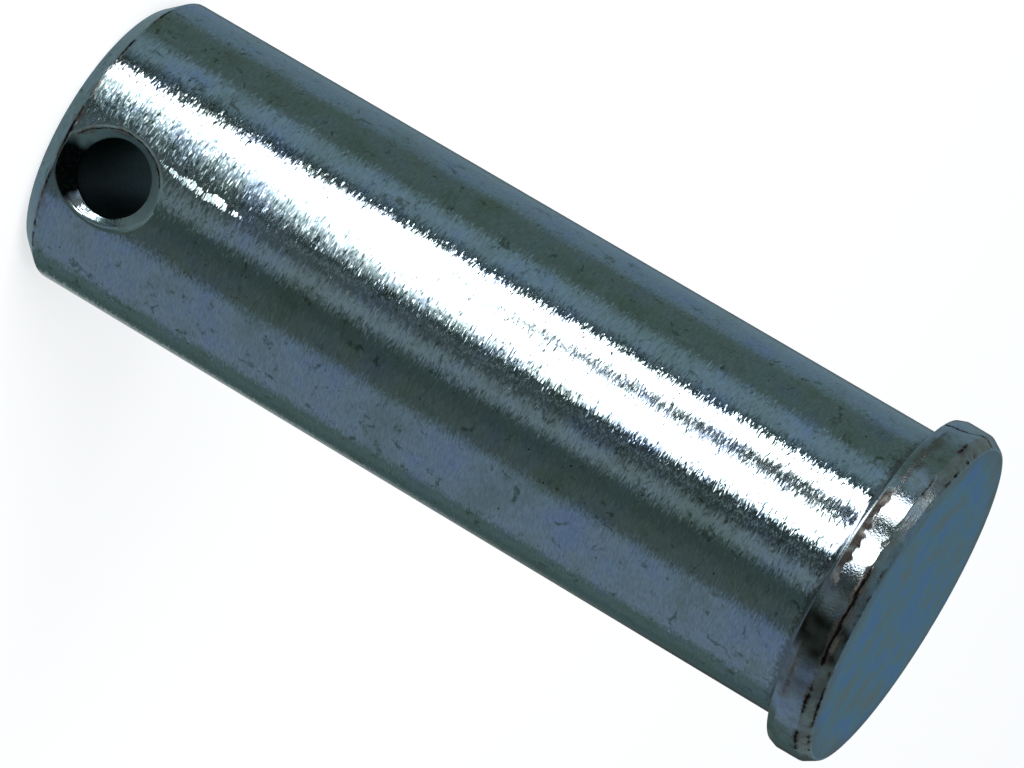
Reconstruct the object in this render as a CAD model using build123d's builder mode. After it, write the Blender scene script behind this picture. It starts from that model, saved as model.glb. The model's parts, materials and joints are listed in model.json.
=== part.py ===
from build123d import *
import os

# A headed coupling pin, turned from one piece of steel bar. All sizes in millimetres.
# The pin stands on its tail end: +Z runs from the tail to the head, the origin is the
# centre of the tail end face, and the cross hole for the split pin runs along Y.

# Shank
shank_diameter = 25.0
overall_length = 75.0
tail_chamfer_length = 1.5
tail_chamfer_width = 1.25

# Head: a thin flange that stands proud of the shank all round, with a bevelled face edge
# and a lightly broken back edge
head_shoulder = 1.95
head_thickness = 3.7
face_bevel_length = 1.0
face_bevel_width = 0.6
back_bevel_length = 0.7
back_bevel_width = 0.25
underhead_fillet_radius = 0.75

# Cross hole for the split pin, countersunk at both mouths
cross_hole_diameter = 6.3
cross_hole_from_tail = 6.1
countersink_diameter = 8.9
countersink_angle = 90.0

# Radii and heights that follow from the sizes above
shank_radius = shank_diameter / 2
tail_face_radius = shank_radius - tail_chamfer_width
head_radius = shank_radius + head_shoulder
bearing_face_radius = head_radius - back_bevel_width
head_face_radius = head_radius - face_bevel_width
underhead_height = overall_length - head_thickness
rim_bottom = underhead_height + back_bevel_length
rim_top = overall_length - face_bevel_length

# The two mouths of the cross hole, each a plane that touches the shank at its crest
front_mouth = Plane(origin=(0, -shank_radius, cross_hole_from_tail), z_dir=(0, -1, 0))
rear_mouth = Plane(origin=(0, shank_radius, cross_hole_from_tail), z_dir=(0, 1, 0))

with BuildPart() as coupling_pin:
    # Half section through the axis, from the tail end face up the wall to the head's face
    with BuildSketch(Plane.XZ) as half_section:
        with BuildLine():
            Polyline(
                (0, 0),
                (tail_face_radius, 0),
                (shank_radius, tail_chamfer_length),
                (shank_radius, underhead_height),
                (bearing_face_radius, underhead_height),
                (head_radius, rim_bottom),
                (head_radius, rim_top),
                (head_face_radius, overall_length),
                (0, overall_length),
                close=True,
            )
        make_face()
        # The inner corner under the head is rounded, as a turning tool's nose leaves it
        underhead_corner = half_section.vertices().sort_by_distance((shank_radius, underhead_height))[0]
        fillet(underhead_corner, radius=underhead_fillet_radius)
    revolve(axis=Axis.Z)

    # The drilled cross hole goes right through, and a cone opens each mouth
    with Locations(front_mouth, rear_mouth):
        CounterSinkHole(
            radius=cross_hole_diameter / 2,
            counter_sink_radius=countersink_diameter / 2,
            depth=shank_diameter,
            counter_sink_angle=countersink_angle,
        )

coupling_pin.part.label = "coupling_pin"

os.makedirs("parts", exist_ok=True)
export_step(coupling_pin.part, "parts/coupling_pin.step")
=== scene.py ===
"""Looks of the coupling pin: one piece of zinc-plated steel, turned on the shank and upset at the head.

The pin stands on its tail with its head up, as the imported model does, and the camera is rolled, so that
the head comes to the lower right as in the photograph. Lengths are in metres.
"""

import json
import logging
import math
from dataclasses import dataclass
from enum import Enum
from typing import Any

import bmesh
import bpy
from mathutils import Matrix, Vector, noise

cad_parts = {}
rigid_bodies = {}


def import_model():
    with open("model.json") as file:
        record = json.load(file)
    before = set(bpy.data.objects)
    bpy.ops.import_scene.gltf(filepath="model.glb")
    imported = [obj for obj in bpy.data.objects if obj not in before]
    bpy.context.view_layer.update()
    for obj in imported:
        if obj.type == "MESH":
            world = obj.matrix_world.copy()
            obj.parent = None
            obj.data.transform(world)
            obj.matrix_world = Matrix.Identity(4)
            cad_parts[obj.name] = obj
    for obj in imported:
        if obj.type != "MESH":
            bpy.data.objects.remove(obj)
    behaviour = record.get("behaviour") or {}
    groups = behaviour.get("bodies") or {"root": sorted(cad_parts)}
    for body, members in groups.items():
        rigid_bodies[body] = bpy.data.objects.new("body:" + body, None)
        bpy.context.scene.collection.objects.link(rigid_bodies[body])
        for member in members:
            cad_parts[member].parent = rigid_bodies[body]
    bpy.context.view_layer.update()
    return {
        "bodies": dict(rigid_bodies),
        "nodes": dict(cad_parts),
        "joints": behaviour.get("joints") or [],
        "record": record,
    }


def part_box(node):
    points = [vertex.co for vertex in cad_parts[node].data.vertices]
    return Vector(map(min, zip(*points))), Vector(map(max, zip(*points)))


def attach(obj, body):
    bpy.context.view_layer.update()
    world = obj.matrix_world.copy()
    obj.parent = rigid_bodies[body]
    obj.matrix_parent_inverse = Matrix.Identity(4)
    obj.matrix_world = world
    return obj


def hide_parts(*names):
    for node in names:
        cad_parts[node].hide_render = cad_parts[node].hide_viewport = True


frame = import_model()

MM = 0.001
FULL_TURN = 2 * math.pi
NODE = "coupling_pin"
LOG = logging.getLogger("coupling_pin")

# Lengths this close are one length
SAME = 1e-9
# Vertices this close are one vertex
WELD = 1e-7
# A point this close to a surface lies on it
TOUCH = 1e-6

# The settings of a mix node that mixes colours, and of one that mixes plain values
COLOURS = {"data_type": "RGBA"}
VALUES = {"data_type": "FLOAT"}

Tree = bpy.types.NodeTree
Socket = bpy.types.NodeSocket
Tone = tuple[float, float, float]


def linear(hex_colour: str, alpha: float = 1.0) -> tuple[float, float, float, float]:
    """Turns an sRGB hex colour to the linear values that a shader takes.

    Args:
        hex_colour: six hex digits after a hash sign.
        alpha: the fourth value.

    Returns:
        Red, green, blue and alpha.
    """
    shares = [int(hex_colour[i:i + 2], 16) / 255 for i in (1, 3, 5)]
    red, green, blue = [c / 12.92 if c <= 0.04045 else ((c + 0.055) / 1.055) ** 2.4 for c in shares]
    return red, green, blue, alpha


def add_node(tree: Tree, kind: str, settings: dict[str, Any] | None = None,
             links: dict[Any, Any] | None = None) -> bpy.types.Node:
    """Adds one shader node with its settings and links.

    Args:
        tree: the node tree that the node joins.
        kind: the node's type name, after the word ShaderNode.
        settings: the node's own properties; stops are (place, colour) pairs for a colour ramp.
        links: for each input, by name or number, the output that feeds it or its plain value.

    Returns:
        The new node.
    """
    node = tree.nodes.new("ShaderNode" + kind)
    for name, value in (settings or {}).items():
        if name == "stops":
            ramp = node.color_ramp
            while len(ramp.elements) < len(value):
                ramp.elements.new(0.5)
            for element, (place, colour) in zip(ramp.elements, value):
                element.position, element.color = place, colour
        else:
            setattr(node, name, value)
    for key, value in (links or {}).items():
        if isinstance(value, Socket):
            tree.links.new(value, node.inputs[key])
        else:
            node.inputs[key].default_value = value
    return node


def smooth_step(low: float, high: float, value: float) -> float:
    """Rises softly from 0 at low to 1 at high."""
    share = min(1.0, max(0.0, (value - low) / (high - low)))
    return share * share * (3 - 2 * share)


class Zone(Enum):
    """The parts of the pin's surface, each with the finish that its making left."""

    TURNED = 0
    UPSET = 1
    PRESSED = 2
    COUNTERSUNK = 3
    DRILLED = 4


@dataclass(frozen=True)
class PinSizes:
    """The pin's sizes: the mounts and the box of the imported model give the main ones."""

    length: float
    shank_radius: float
    head_radius: float
    chamfer_top: float
    fillet_bottom: float
    seat_height: float
    hole_radius: float
    hole_height: float
    bore_half_length: float
    tail_chamfer_width: float = 1.25 * MM
    face_bevel_length: float = 1.0 * MM
    face_bevel_width: float = 0.6 * MM
    back_bevel_length: float = 0.7 * MM
    back_bevel_width: float = 0.25 * MM

    @classmethod
    def from_frame(cls, loaded: dict[str, Any]) -> "PinSizes":
        """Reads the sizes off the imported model.


        Returns:
            The pin's sizes.
        """
        low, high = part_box(NODE)
        mounts = {mount["name"]: mount for mount in loaded["record"]["mounts"]}
        shank, hole, seat = mounts["shank"], mounts["cross_hole"], mounts["head_seat"]
        half_wall = shank["dims"]["length_mm"] * MM / 2
        return cls(
            length=high.z - low.z,
            shank_radius=shank["dims"]["r_mm"] * MM,
            head_radius=(high.x - low.x) / 2,
            chamfer_top=shank["pos_m"][2] - half_wall,
            fillet_bottom=shank["pos_m"][2] + half_wall,
            seat_height=seat["pos_m"][2],
            hole_radius=hole["dims"]["r_mm"] * MM,
            hole_height=hole["pos_m"][2],
            bore_half_length=hole["dims"]["length_mm"] * MM / 2,
        )

    @property
    def fillet_radius(self) -> float:
        """The radius of the corner between the shank and the head."""
        return self.seat_height - self.fillet_bottom

    @property
    def rim_top(self) -> float:
        """The height of the edge between the rim and the face bevel."""
        return self.length - self.face_bevel_length

    @property
    def rim_bottom(self) -> float:
        """The height of the edge between the back bevel and the rim."""
        return self.seat_height + self.back_bevel_length


@dataclass(frozen=True)
class Corner:
    """A corner of the turned outline, with the small round that plating leaves on it.

    The step is the spacing of the rings on the stretch that follows the corner.
    """

    radius: float
    height: float
    rounding: float
    step: float


@dataclass(frozen=True)
class Stretch:
    """A stretch of degrees round the pin or round the hole, with a soft rise and a soft fall at its ends."""

    rise_from: float
    rise_to: float
    fall_from: float
    fall_to: float

    def share(self, turn: float) -> float:
        """Tells how much of the stretch there is at a turn, between 0 and 1."""
        fallen = smooth_step(self.fall_from, self.fall_to, turn)
        return smooth_step(self.rise_from, self.rise_to, turn) * (1 - fallen)


@dataclass(frozen=True)
class WornEdge:
    """An edge of the pin with its chips and the scale left in them.

    Each arc is (from, to, strength), in degrees round the pin from the line to the camera. The spread is how
    far the marks reach from the edge, where 1 is the most. A clear edge has no black line along its middle.
    """

    radius: float
    height: float
    width: float
    wander: float
    depth: float
    strength: float
    arcs: tuple[tuple[float, float, float], ...] = ()
    seed: float = 0.0
    spread: float = 1.0
    clear: float = 0.0


@dataclass(frozen=True)
class Wear:
    """What the wear does: how worn, marked, darkened by stain and painted shade, and dull it is, and how far
    it sinks.
    """

    strength: float = 0.0
    offset: float = 0.0
    darkening: float = 0.0
    dullness: float = 0.0
    sink: float = 0.0


@dataclass
class PinMesh:
    """Builds the pin as one closed mesh: rings along its outline, and patches round the cross hole."""

    sizes: PinSizes
    camera_azimuth: float
    columns: int = 600
    mouth_half_columns: int = 38
    mouth_rings: int = 8
    mouth_crowding: float = 1.6
    mouth_margin: float = 0.5 * MM
    cone_rings: int = 7
    bore_rings: int = 26
    mouth_round: float = 0.30 * MM
    rim_round: float = 0.12 * MM
    edge_support: float = 0.05 * MM
    arc_pieces: int = 4
    wide_round: float = 0.4 * MM
    pole_radius: float = 0.4 * MM
    chord_depth: float = 0.004 * MM
    rim_waviness: float = 0.010 * MM
    rim_wave_length: float = 1.8 * MM
    rim_crown: float = 0.004 * MM
    rim_taper: float = 0.024 * MM
    rim_margin: float = 0.01 * MM
    lap_depth: float = 0.06 * MM
    lap_width: float = 0.14 * MM
    lap_foot: float = -67.5
    lap_head: float = -75.0
    lap_strength: float = 0.9
    lap_spread: float = 0.5
    worn_tail_height: float = 1.0 * MM
    arc_softness: float = 2.0
    slow_length: float = 2.6 * MM
    quick_length: float = 0.7 * MM
    wander_length: float = 1.1 * MM
    chip_grain: float = 0.25 * MM
    # Painted shade: the stretch where each countersink is painted black on its tail side
    mouth_shade: Stretch = Stretch(-122, -98, -46, -34)
    mouth_shine: Stretch = Stretch(-60, -45, 8, 60)
    mouth_clean: tuple[float, float] = (-60, -20)
    mouth_wear: float = 0.75
    mouth_spread: float = 0.3
    mouth_waver: float = 10.0
    # Painted shade on the rim: it is darkened where it reflects dark bands
    rim_stain: Stretch = Stretch(-4, 6, 38, 53)
    rim_stain_and_shade_middle: Stretch = Stretch(13, 18, 26, 31)
    rim_stain_and_shade_strength: float = 0.45
    # Dirt on the back bevel, which is also painted shade under the rim over the stretch that reflects the key
    rim_dirt_and_shade: Stretch = Stretch(-31, -26, 0, 8)
    rim_dirt_and_shade_ragged: float = 0.35 * MM

    @property
    def mouth_top(self) -> float:
        """The height of the ring that closes the gap for the cross hole's mouths."""
        return 2 * self.sizes.hole_height - self.sizes.chamfer_top + self.mouth_margin

    def worn_edges(self) -> list[WornEdge]:
        """Lists the worn edges: three on the head and one on the tail."""
        s = self.sizes
        face_edge = s.head_radius - s.face_bevel_width
        return [
            WornEdge(s.head_radius, s.rim_top, 0.12 * MM, 0.30 * MM, 0.10 * MM, 0.45, (
                (-4, 30, 1.0), (38, 50, 0.8), (59, 73, 0.8), (-62, -54, 0.8), (-38, -30, 0.55)), 3.1, 0.8),
            WornEdge(face_edge, s.length - 0.2 * MM, 0.12 * MM, 0.30 * MM, 0.06 * MM, 0.5, (
                (-64, -38, 0.75), (-22, -2, 0.4), (2, 28, 0.5), (30, 75, 0.7)), 7.7, 0.8),
            WornEdge(s.head_radius, s.rim_bottom + 0.15 * MM, 0.11 * MM, 0.20 * MM, 0.03 * MM, 0.5, (
                (-62, -32, 0.9), (10, 26, 0.45), (26, 48, 0.9)), 12.3, 0.5, 0.30),
            WornEdge(s.shank_radius, s.chamfer_top, 0.10 * MM, 0.05 * MM, 0.02 * MM, 0.5, (
                (-60, 60, 0.8), (-4, 18, 0.95)), 17.9, 0.5, 0.15),
        ]

    def outline(self) -> list[tuple[float, float]]:
        """Works out the rings' radii and heights, from the tail face's middle to the head face's.

        Returns:
            (radius, height) pairs.
        """
        s = self.sizes
        corners = [
            Corner(self.pole_radius, 0.0, 0.0, 2.0 * MM),
            Corner(s.shank_radius - s.tail_chamfer_width, 0.0, 0.1 * MM, 0.2 * MM),
            Corner(s.shank_radius, s.chamfer_top, 0.1 * MM, 0.9 * MM),
            Corner(s.shank_radius, self.mouth_top, 0.0, 6.0 * MM),
            Corner(s.shank_radius, s.seat_height, s.fillet_radius, 0.3 * MM),
            Corner(s.head_radius - s.back_bevel_width, s.seat_height, 0.12 * MM, 0.08 * MM),
            Corner(s.head_radius, s.rim_bottom, 0.3 * MM, 0.09 * MM),
            Corner(s.head_radius, s.rim_top, 0.5 * MM, 0.09 * MM),
            Corner(s.head_radius - s.face_bevel_width, s.length, 0.45 * MM, 0.12 * MM),
            Corner(s.head_radius - 2.2 * s.face_bevel_width, s.length, 0.0, 2.0 * MM),
            Corner(self.pole_radius, s.length, 0.0, 0.0),
        ]
        points = [Vector((c.radius, c.height)) for c in corners]
        rings: list[Vector] = [points[0]]
        for i in range(1, len(corners)):
            here, rounding, step = points[i], corners[i].rounding, corners[i - 1].step
            if not rounding:
                rings += self.straight(rings[-1], here, step)
                continue
            back = (points[i - 1] - here).normalized()
            ahead = (points[i + 1] - here).normalized()
            half_angle = back.angle(ahead) / 2
            rings += self.straight(rings[-1], here + back * (rounding / math.tan(half_angle)), step)
            rings += self.arc(here, back, ahead, rounding, half_angle)
        return [(p.x, p.y) for p in rings]

    def straight(self, start: Vector, end: Vector, step: float) -> list[Vector]:
        """Divides a straight stretch, with a close ring at each end to hold the shading.

        Args:
            start: where the stretch starts; it isn't given back.
            end: where the stretch ends.
            step: the rings' spacing.

        Returns:
            The stretch's points after its start.
        """
        length = (end - start).length
        if length < 3 * self.edge_support:
            return [end]
        count = max(1, round(length / step))
        margin = self.edge_support / length
        shares = [margin, *(k / count for k in range(1, count)), 1 - margin, 1.0]
        return [start.lerp(end, share) for share in shares]

    def arc(self, corner: Vector, back: Vector, ahead: Vector, radius: float,
            half_angle: float) -> list[Vector]:
        """Rounds a corner of the outline.

        Args:
            corner: the sharp corner.
            back: the direction to the corner before.
            ahead: the direction to the corner after.
            radius: the round's radius.
            half_angle: half the angle between the two directions.

        Returns:
            The round's points after its first.
        """
        centre = corner + (back + ahead).normalized() * (radius / math.sin(half_angle))
        first = corner + back * (radius / math.tan(half_angle)) - centre
        sweep = math.pi - 2 * half_angle
        side = -1.0 if back.x * ahead.y - back.y * ahead.x > 0 else 1.0
        pieces = self.arc_pieces * (2 if radius > self.wide_round else 1)
        return [centre + Matrix.Rotation(side * sweep * k / pieces, 2) @ first for k in range(1, pieces + 1)]

    def build(self) -> bpy.types.Object:
        """Makes the mesh and the object, with each face's finish and its wear.

        Returns:
            The new object, linked to the scene.
        """
        s = self.sizes
        mesh = bmesh.new()
        outline = self.outline()
        cut = [i for i, (radius, height) in enumerate(outline)
               if abs(radius - s.shank_radius) < SAME and s.chamfer_top < height < self.mouth_top + SAME]
        self.add_rings(mesh, outline, range(cut[0], cut[-1]))
        heights = [outline[i][1] for i in range(cut[0], cut[-1] + 1)]
        for side in (-1, 1):
            self.add_mouth(mesh, side, heights)
        self.add_bore(mesh, heights)
        bmesh.ops.remove_doubles(mesh, verts=mesh.verts, dist=WELD)
        bmesh.ops.recalc_face_normals(mesh, faces=mesh.faces)
        for face in mesh.faces:
            face.smooth = True
            face.material_index = self.zone_of(face.calc_center_median()).value
        self.wear_down(mesh)
        data = bpy.data.meshes.new(NODE + "_plated")
        mesh.to_mesh(data)
        mesh.free()
        piece = bpy.data.objects.new(NODE + "_plated", data)
        bpy.context.scene.collection.objects.link(piece)
        return piece

    def add_rings(self, mesh: bmesh.types.BMesh, outline: list[tuple[float, float]], cut: range) -> None:
        """Adds the rings, the faces between them and the fans that close both ends.

        Args:
            mesh: the mesh to add to.
            outline: the rings' radii and heights.
            cut: the rings whose faces leave a gap at each mouth of the cross hole.
        """
        rings = [[mesh.verts.new(self.place(column, radius, height)) for column in range(self.columns)]
                 for radius, height in outline]
        quarter = self.columns // 4
        for i, (lower, upper) in enumerate(zip(rings[:-1], rings[1:])):
            for column in range(self.columns):
                following = (column + 1) % self.columns
                off_mouth = min((column - quarter) % (2 * quarter), -(column + 1 - quarter) % (2 * quarter))
                if i in cut and off_mouth < self.mouth_half_columns:
                    continue
                mesh.faces.new((lower[column], lower[following], upper[following], upper[column]))
        for ring, height in ((rings[0], 0.0), (rings[-1], self.sizes.length)):
            pole = mesh.verts.new((0, 0, height))
            for column in range(self.columns):
                mesh.faces.new((pole, ring[column], ring[(column + 1) % self.columns]))

    def place(self, column: float, radius: float, height: float) -> Vector:
        """Gives the point of a ring at a column."""
        turn = FULL_TURN * column / self.columns
        return Vector((radius * math.cos(turn), radius * math.sin(turn), height))

    def border(self, heights: list[float]) -> list[tuple[float, float]]:
        """Walks round the gap that a mouth leaves in the rings.

        Args:
            heights: the heights of the rings that the gap cuts.

        Returns:
            (angle round the shank, height) pairs, from the hole's middle.
        """
        step, half = FULL_TURN / self.columns, self.mouth_half_columns
        rise = [z - self.sizes.hole_height for z in heights]
        walk = [(d * step, rise[0]) for d in range(-half, half)]
        walk += [(half * step, v) for v in rise[:-1]]
        walk += [(d * step, rise[-1]) for d in range(half, -half, -1)]
        walk += [(-half * step, v) for v in reversed(rise[1:])]
        return walk

    def mouth_edge(self, direction: float) -> float:
        """Finds how far the countersink's edge lies from the hole's axis.

        Args:
            direction: the angle about the hole's axis, from the shank's tangent.

        Returns:
            The distance, where the 45 degree cone meets the round shank.
        """
        s = self.sizes
        reach = s.hole_radius + s.shank_radius - s.bore_half_length
        for _ in range(60):
            crest = math.sqrt(s.shank_radius ** 2 - (reach * math.cos(direction)) ** 2)
            reach = (reach + s.hole_radius + crest - s.bore_half_length) / 2
        return reach

    def add_mouth(self, mesh: bmesh.types.BMesh, side: int, heights: list[float]) -> None:
        """Fills the gap in the rings round a mouth: the shank's wall, the rounded edge, the cone and the rim.

        Args:
            mesh: the mesh to add to.
            side: -1 for the mouth at -Y, 1 for the one at +Y.
            heights: the heights of the rings that the gap cuts.
        """
        columns = [self.mouth_column(side, around, rise) for around, rise in self.border(heights)]
        self.join_loops(mesh, [[mesh.verts.new(point) for point in row] for row in zip(*columns)])

    def mouth_column(self, side: int, around: float, rise: float) -> list[Vector]:
        """Follows the surface from the border of a mouth's gap into the bore.

        Args:
            side: -1 for the mouth at -Y, 1 for the one at +Y.
            around: the border point's angle round the shank, from the hole's middle.
            rise: its height above the hole's middle.

        Returns:
            The points, from the shank's wall to the bore's.
        """
        s = self.sizes
        middle = side * math.pi / 2
        direction = math.atan2(rise, s.shank_radius * around)
        reach = self.mouth_edge(direction)
        lean = math.asin(reach * math.cos(direction) / s.shank_radius)

        def wall(share: float) -> Vector:
            """Gives the point of the shank's wall at a share of the way to the countersink's edge."""
            turn = middle + around + (lean - around) * share
            height = s.hole_height + rise + (reach * math.sin(direction) - rise) * share
            return Vector((s.shank_radius * math.cos(turn), s.shank_radius * math.sin(turn), height))

        def inside(radius: float, depth: float) -> Vector:
            """Gives the point at a distance from the hole's axis and from the pin's."""
            return Vector((-side * radius * math.cos(direction), side * depth,
                           s.hole_height + radius * math.sin(direction)))

        def cone(radius: float) -> Vector:
            """Gives the point of the cone at a distance from the hole's axis."""
            return inside(radius, s.bore_half_length + radius - s.hole_radius)

        gap = (wall(1.0) - wall(0.0)).length
        outer = min(self.mouth_round, 0.6 * gap)
        last = 1 - outer / gap
        shares = [last * (1 - (1 - k / self.mouth_rings) ** self.mouth_crowding)
                  for k in range(self.mouth_rings + 1)]
        points = [wall(share) for share in shares]
        top, bottom = reach - outer / math.sqrt(2), s.hole_radius + self.rim_round / math.sqrt(2)
        points += self.bend(points[-1], wall(1.0), cone(top))
        points += [cone(top + (bottom - top) * k / self.cone_rings) for k in range(1, self.cone_rings + 1)]
        bore_start = inside(s.hole_radius, s.bore_half_length - self.rim_round)
        return points + self.bend(points[-1], cone(s.hole_radius), bore_start)

    def bend(self, start: Vector, corner: Vector, end: Vector) -> list[Vector]:
        """Rounds a corner between two points and gives the points after the first."""
        shares = [k / self.arc_pieces for k in range(1, self.arc_pieces + 1)]
        return [start.lerp(corner, u).lerp(corner.lerp(end, u), u) for u in shares]

    def add_bore(self, mesh: bmesh.types.BMesh, heights: list[float]) -> None:
        """Adds the bore's wall, from the rim at one mouth to the rim at the other.

        Args:
            mesh: the mesh to add to.
            heights: the heights of the rings that the mouths cut.
        """
        s = self.sizes
        directions = [math.atan2(rise, s.shank_radius * around) for around, rise in self.border(heights)]
        circle = [(s.hole_radius * math.cos(d), s.hole_height + s.hole_radius * math.sin(d))
                  for d in directions]
        half = s.bore_half_length - self.rim_round
        depths = [half * (2 * k / self.bore_rings - 1) for k in range(self.bore_rings + 1)]
        self.join_loops(mesh, [[mesh.verts.new((x, depth, z)) for x, z in circle] for depth in depths])

    @staticmethod
    def join_loops(mesh: bmesh.types.BMesh, rows: list[list[bmesh.types.BMVert]]) -> None:
        """Joins each closed loop of vertices to the next with four-sided faces."""
        for near, far in zip(rows[:-1], rows[1:]):
            for k in range(len(near)):
                following = (k + 1) % len(near)
                mesh.faces.new((near[k], near[following], far[following], far[k]))

    def zone_of(self, point: Vector) -> Zone:
        """Tells which finish a face has.

        Args:
            point: the face's middle, before the wear.

        Returns:
            The face's zone.
        """
        s = self.sizes
        radius = math.hypot(point.x, point.y)
        off_hole = math.hypot(point.x, point.z - s.hole_height)
        in_bore = abs(point.y) < s.bore_half_length and off_hole < s.hole_radius + TOUCH
        if point.z > s.length - TOUCH:
            return Zone.PRESSED
        if point.z > s.seat_height - 0.5 * s.fillet_radius:
            return Zone.UPSET
        if in_bore or off_hole < s.hole_radius - TOUCH:
            return Zone.DRILLED
        if radius < s.shank_radius - self.chord_depth and point.z > s.chamfer_top and off_hole < s.hole_height:
            return Zone.COUNTERSUNK
        return Zone.TURNED

    def wear_down(self, mesh: bmesh.types.BMesh) -> None:
        """Sinks the chips, the lap and the rim's waviness into the surface, and never raises it.

        Args:
            mesh: the pin's mesh. Each vertex gains four values that the finishes read: the edge's wear and
                offset,
            its darkening by stains and painted shade, and its dullness.
        """
        s = self.sizes
        names = ("edge_wear", "edge_offset", "rim_stain", "dullness")
        layers = [mesh.verts.layers.float.new(name) for name in names]
        edges = self.worn_edges()
        for vertex in mesh.verts:
            point = vertex.co.copy()
            radius = math.hypot(point.x, point.y)
            off_hole = math.hypot(point.x, point.z - s.hole_height)
            on_cone = s.hole_radius + TOUCH < off_hole < s.hole_height - s.chamfer_top
            near_tail = (point.z < s.chamfer_top + self.worn_tail_height
                         and radius > s.shank_radius - s.tail_chamfer_width)
            on_head = point.z > s.fillet_bottom and radius > s.shank_radius + TOUCH
            if on_cone and radius < s.shank_radius - self.chord_depth:
                wear = self.mouth_wear_at(point, off_hole)
            elif near_tail or on_head:
                wear = self.edge_wear_at(edges, point, radius)
            else:
                continue
            for layer, value in zip(layers, (wear.strength, wear.offset, wear.darkening, wear.dullness)):
                vertex[layer] = value
            vertex.co = point + self.inward(point, radius) * wear.sink

    def mouth_wear_at(self, point: Vector, off_hole: float) -> Wear:
        """Works out the wear on a countersink: a thin line along its edge, black painted shade and a bright
        stretch.

        Args:
            point: the point.
            off_hole: its distance from the hole's axis.

        Returns:
            The wear, with nothing sunk.
        """
        direction = self.mouth_direction(point)
        # The black on the countersink's tail side is painted shade
        darkening = self.mouth_shade.share(direction)
        offset = (self.mouth_edge(math.radians(direction)) - off_hole) / (self.mouth_spread * MM)
        clean = max(0.0, 1 - smooth_step(*self.mouth_clean, direction) - darkening)
        dullness = 1 - self.mouth_shine.share(direction)
        return Wear(self.mouth_wear * clean * (offset < 1), offset, darkening, dullness)

    def edge_wear_at(self, edges: list[WornEdge], point: Vector, radius: float) -> Wear:
        """Works out the wear near the head's and the tail's edges.

        Args:
            edges: the worn edges, of which the nearest one counts.
            point: the point.
            radius: its distance from the pin's axis.

        Returns:
            The wear.
        """
        s = self.sizes
        turn = math.degrees(math.atan2(point.x, -point.y)) - self.camera_azimuth
        turn = (turn + 180) % 360 - 180
        edge = min(edges, key=lambda e: math.hypot(radius - e.radius, point.z - e.height))
        outward, upward = radius - edge.radius, point.z - edge.height
        offset = math.hypot(outward, upward) * (1.0 if upward > outward else -1.0)
        spread, clear, darkening, dirt_and_shade = edge.spread, edge.clear, 0.0, 0.0
        strength, chip = self.chip_at(edge, offset, point, turn)
        sink = edge.depth * chip
        if radius > s.head_radius - s.face_bevel_width - self.rim_margin and point.z < s.length:
            share = (point.z - s.rim_bottom) / (s.rim_top - s.rim_bottom)
            path = self.lap_foot + (self.lap_head - self.lap_foot) * min(1.2, max(-0.3, share)) ** 2
            away = math.radians(turn - path) * radius
            lap = math.exp(-(away / self.lap_width) ** 2)
            if lap > 0.1:
                strength, offset, spread, clear = max(strength, self.lap_strength), away, self.lap_spread, 0.0
            sink = max(sink, self.lap_depth * lap)
            sink += self.rim_waviness * (0.5 + 0.5 * noise.noise(point / self.rim_wave_length))
            sink += self.rim_crown * min(1.0, abs(2 * share - 1)) ** 2
            sink += self.rim_taper * min(1.2, max(0.0, share))
            # Dirt and painted shade on the back bevel, and painted shade on the rim
            dirt_and_shade = self.dirt_and_shade_at(turn, point)
            darkening = max(self.rim_shade_at(turn, point), dirt_and_shade)
        offset /= spread * MM
        return Wear(strength, math.hypot(offset, clear) if clear else offset, darkening, dirt_and_shade, sink)

    def chip_at(self, edge: WornEdge, offset: float, point: Vector, turn: float) -> tuple[float, float]:
        """Works out how worn an edge is near a point, and how deep the chip is there.

        Args:
            edge: the edge.
            offset: the point's distance from the edge, with its side as the sign.
            point: the point.
            turn: its angle from the line to the camera, in degrees.

        Returns:
            The edge's wear and the chip's share of its full depth, between 0 and 1.
        """
        along, soft = math.radians(turn) * edge.radius, self.arc_softness
        slow = noise.noise(Vector((along / self.slow_length, edge.seed, 0.0)))
        quick = noise.noise(Vector((along / self.quick_length, edge.seed, 5.0)))
        strength = edge.strength * smooth_step(-0.05, 0.45, slow + 0.4 * quick)
        for low, high, share in edge.arcs:
            inside = Stretch(low - soft, low + soft, high - soft, high + soft).share(turn)
            held = 4 * max(0.0, share - 0.8)
            strength = max(strength, share * inside * smooth_step(-0.75, 0.1, slow + 0.6 * quick + held))
        strength *= 1 - smooth_step(3 * edge.width, 6 * edge.width, abs(offset))
        centre = edge.wander * noise.noise(Vector((along / self.wander_length, edge.seed, 9.0)))
        width = edge.width * max(0.35, 1.0 + 1.2 * quick)
        rough = 0.8 + 0.5 * noise.noise(point / self.chip_grain)
        return strength, min(1.0, strength * rough * math.exp(-((offset - centre) / width) ** 2))

    def mouth_direction(self, point: Vector) -> float:
        """Gives a wavering direction about the cross hole: -90 at the tail, 0 at +X on the near side."""
        side = 1.0 if point.y < 0 else -1.0
        direction = math.degrees(math.atan2(point.z - self.sizes.hole_height, side * point.x))
        direction += self.mouth_waver * noise.noise(point / (0.9 * MM))
        return direction - 360 if direction > 110 else direction

    def rim_shade_at(self, turn: float, point: Vector) -> float:
        """Gives the painted shade on the rim's near side, where it reflects dark bands, between 0 and 1."""
        deep = self.rim_stain_and_shade_strength * (self.rim_stain.share(turn) + self.rim_stain_and_shade_middle.share(turn))
        return min(1.0, deep * (1.0 + 0.4 * noise.noise(point / (1.1 * MM))))

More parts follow.
